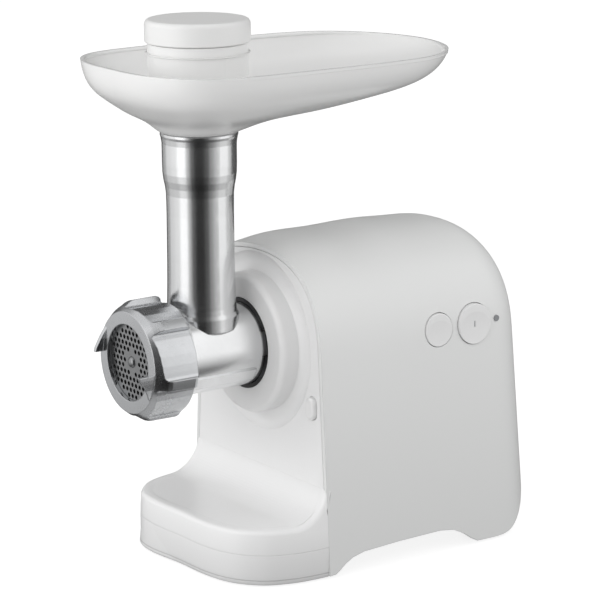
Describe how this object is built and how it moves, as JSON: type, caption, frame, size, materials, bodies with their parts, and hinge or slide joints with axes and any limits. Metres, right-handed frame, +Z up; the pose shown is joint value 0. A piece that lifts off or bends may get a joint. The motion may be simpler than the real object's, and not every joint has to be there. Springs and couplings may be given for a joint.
{
  "type": "electric meat grinder",
  "caption": "Upright electric meat grinder with a rounded body, front deck, cast head with feed tube, ring nut, boat-shaped food tray, capped pusher and round side buttons.",
  "frame": {"origin": "centre of the footprint's bounding box, on the floor", "axes": "+Z up, the outlet faces -Y, the buttons are on the +X side"},
  "size_m": [0.161, 0.2883, 0.3601],
  "materials": {
    "shell_white": "satin gloss",
    "cover_white": "satin gloss",
    "base_white": "satin",
    "foot_rubber": "matte",
    "screw_steel": "satin",
    "socket_black": "satin",
    "gearbox_grey": "satin",
    "bushing_bronze": "satin",
    "frame_steel": "satin",
    "lamination_steel": "satin",
    "winding_copper": "enamelled",
    "switch_black": "satin",
    "board_green": "satin",
    "gear_nylon": "satin",
    "gear_steel": "satin",
    "head_aluminium": "satin cast and turned",
    "nut_aluminium": "satin cast",
    "auger_aluminium": "satin cast",
    "blade_steel": "ground",
    "plate_steel": "ground",
    "tray_white": "satin gloss",
    "pusher_white": "satin gloss",
    "cap_white": "satin",
    "button_white": "satin",
    "lens_grey": "gloss"
  },
  "bodies": {
    "housing": {"main_shell": "shell_white", "front_cover": "cover_white", "bottom_cover": "base_white", "rubber_feet": "foot_rubber", "base_screws": "screw_steel", "head_socket": "socket_black", "gearbox_housing": "gearbox_grey", "gearbox_cover": "gearbox_grey", "shaft_bushings": "bushing_bronze", "gearbox_screws": "screw_steel", "motor_end_frames": "frame_steel", "stator_core": "lamination_steel", "field_windings": "winding_copper", "brush_holders": "switch_black", "switch_carrier": "gearbox_grey", "power_switch": "switch_black", "reverse_switch": "switch_black", "indicator_lens": "lens_grey", "control_board": "board_green", "board_components": "switch_black", "cord_inlet": "switch_black"},
    "rotor": {"rotor_shaft": "frame_steel", "rotor_core": "lamination_steel", "rotor_windings": "winding_copper", "commutator": "winding_copper", "cooling_fan": "switch_black", "motor_pinion": "gear_steel"},
    "middle_stage": {"middle_shaft": "frame_steel", "middle_gear": "gear_nylon", "middle_pinion": "gear_steel"},
    "drive": {"output_spindle": "gear_steel", "output_gear": "gear_nylon", "auger": "auger_aluminium", "cutter_blade": "blade_steel"},
    "head": {"grinder_head": "head_aluminium", "cutting_plate": "plate_steel", "plate_key": "screw_steel"},
    "nut": {"ring_nut": "nut_aluminium"},
    "tray": {"food_tray": "tray_white"},
    "pusher": {"pusher_body": "pusher_white"},
    "cap": {"pusher_cap": "cap_white"},
    "power_key": {"power_button": "button_white"},
    "reverse_key": {"reverse_button": "button_white"},
    "lock_key": {"lock_button": "button_white"}
  },
  "joints": [
    {"name": "auger_spin", "type": "hinge", "parent": "housing", "child": "drive", "pos_m": [0, 0, 0.1441], "axis": [0, 1, 0], "continuous": true},
    {"name": "middle_spin", "type": "hinge", "parent": "housing", "child": "middle_stage", "pos_m": [0, 0, 0.0946], "axis": [0, 1, 0], "continuous": true},
    {"name": "rotor_spin", "type": "hinge", "parent": "housing", "child": "rotor", "pos_m": [-0.02, 0, 0.13153], "axis": [0, 1, 0], "continuous": true},
    {"name": "head_twist", "type": "hinge", "parent": "housing", "child": "head", "pos_m": [0, 0, 0.1441], "axis": [0, -1, 0], "range_deg": [0, 40]},
    {"name": "nut_turn", "type": "hinge", "parent": "head", "child": "nut", "pos_m": [0, 0, 0.1441], "axis": [0, -1, 0], "range_deg": [0, 120]},
    {"name": "tray_lift", "type": "slide", "parent": "head", "child": "tray", "axis": [0, 0, 1], "range_m": [0, 0.03]},
    {"name": "pusher_slide", "type": "slide", "parent": "tray", "child": "pusher", "axis": [0, 0, 1], "range_m": [0, 0.12]},
    {"name": "cap_lift", "type": "slide", "parent": "pusher", "child": "cap", "axis": [0, 0, 1], "range_m": [0, 0.02]},
    {"name": "power_press", "type": "slide", "parent": "housing", "child": "power_key", "axis": [-1, 0, 0], "range_m": [0, 0.0022], "stiffness_N_per_m": 400, "springref_m": -0.001},
    {"name": "reverse_press", "type": "slide", "parent": "housing", "child": "reverse_key", "axis": [-1, 0, 0], "range_m": [0, 0.0022], "stiffness_N_per_m": 400, "springref_m": -0.001},
    {"name": "lock_press", "type": "slide", "parent": "housing", "child": "lock_key", "axis": [0, 1, 0], "range_m": [0, 0.003], "stiffness_N_per_m": 400, "springref_m": -0.001}
  ],
  "couplings": [
    {"joint": "middle_spin", "follows": "auger_spin", "ratio": -4.5},
    {"joint": "rotor_spin", "follows": "auger_spin", "ratio": 27}
  ]
}
